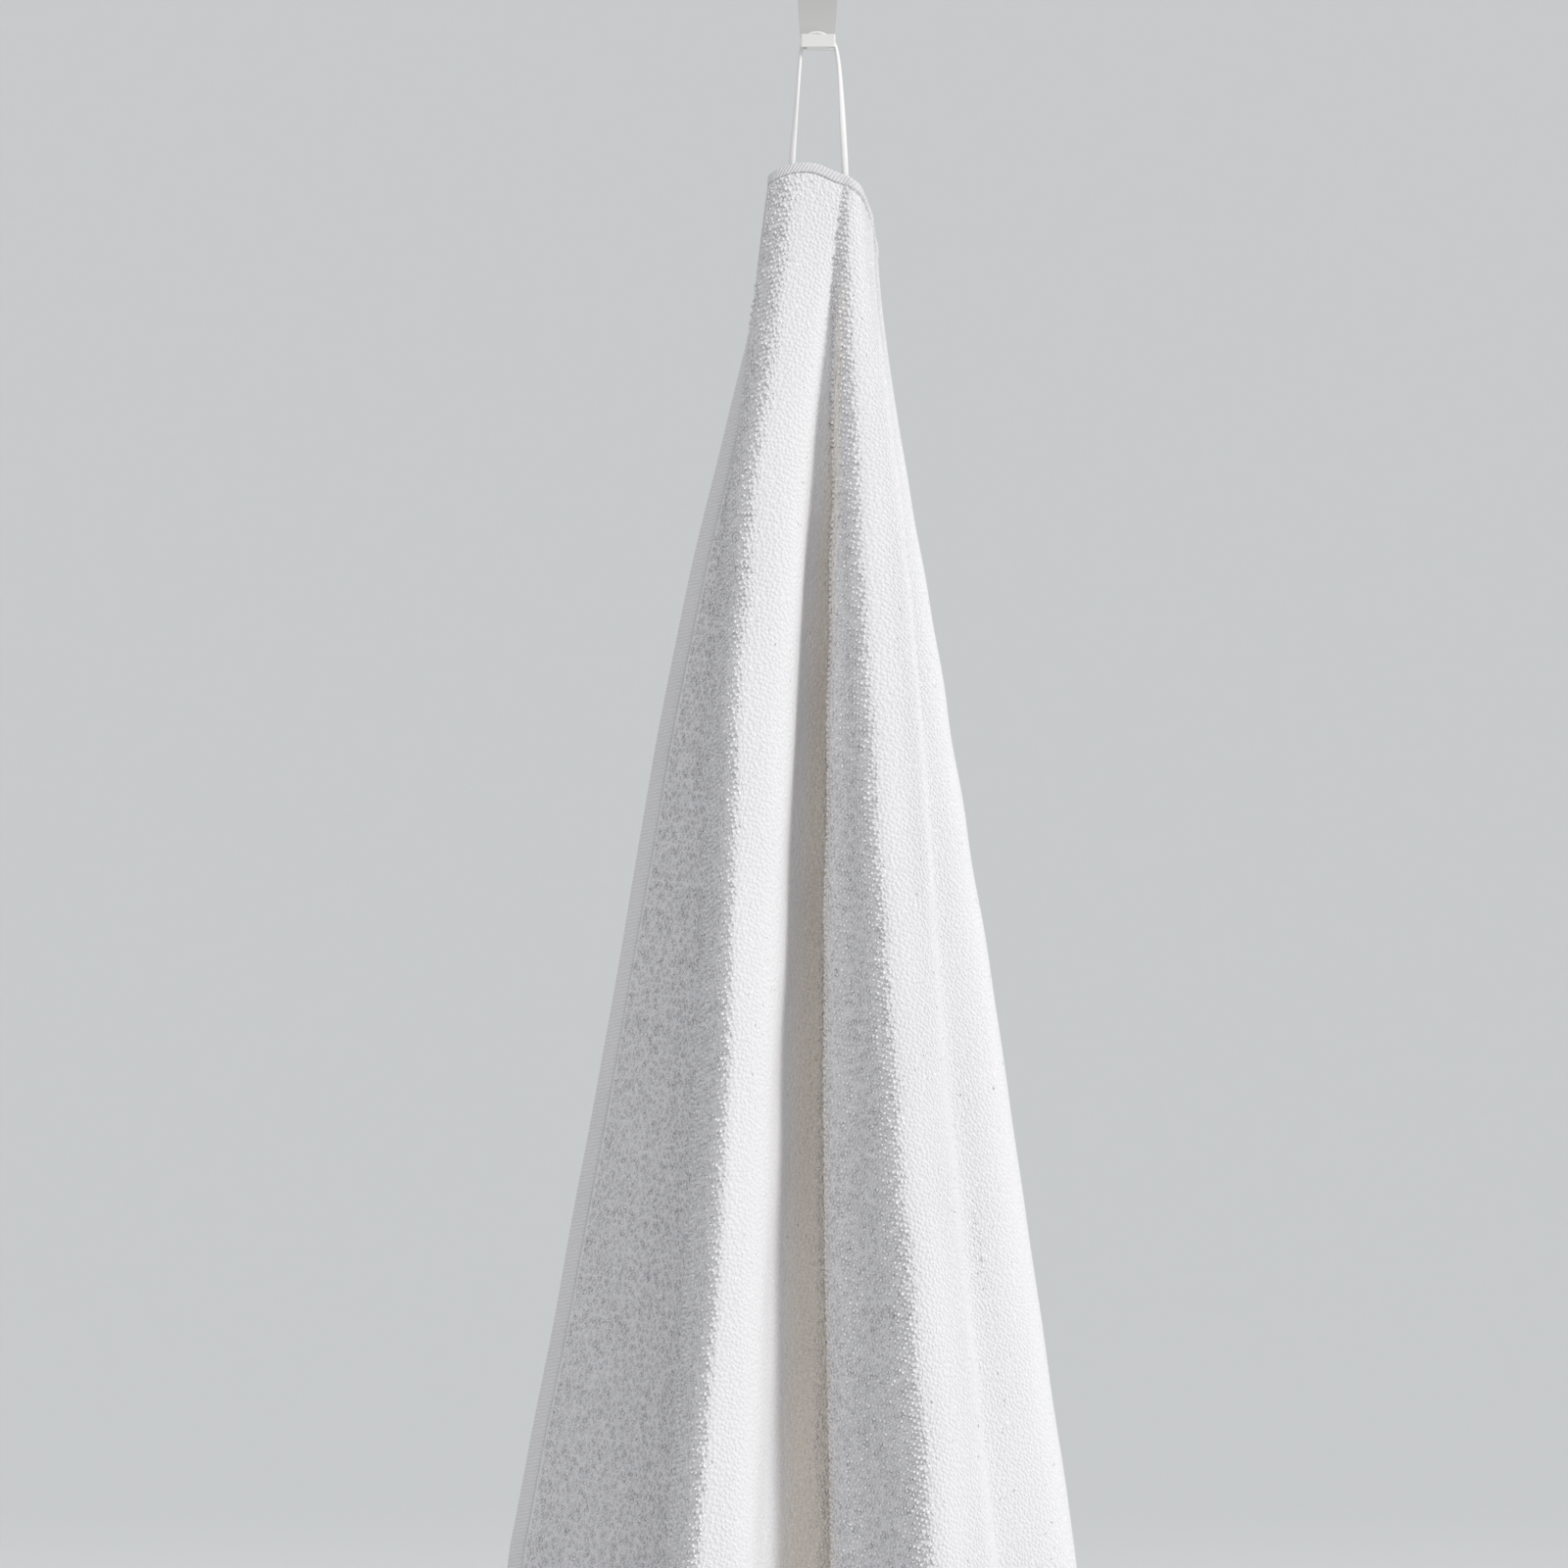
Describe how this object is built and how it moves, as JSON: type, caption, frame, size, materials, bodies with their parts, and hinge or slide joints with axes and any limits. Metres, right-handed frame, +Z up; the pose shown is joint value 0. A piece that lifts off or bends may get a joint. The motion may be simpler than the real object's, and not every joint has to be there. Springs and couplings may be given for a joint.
{
  "type": "hand towel on a hook",
  "caption": "Gathered terry hand towel that hangs in long folds by its cord loop from a small tapered wall hook.",
  "frame": {"origin": "middle of the hook's flat back, on the wall's surface", "axes": "+Z up along the hanging towel, +Y into the wall, +X to the right of someone who faces the wall"},
  "size_m": [0.2058, 0.1144, 0.8096],
  "materials": {
    "towel_cloth": "looped terry pile, matt",
    "loop_cord": "flat woven cord, matt",
    "hook_paint": "warm grey satin paint"
  },
  "bodies": {
    "root": {"towel": "towel_cloth", "hanging_loop": "loop_cord", "hook": "hook_paint"}
  },
  "joints": []
}
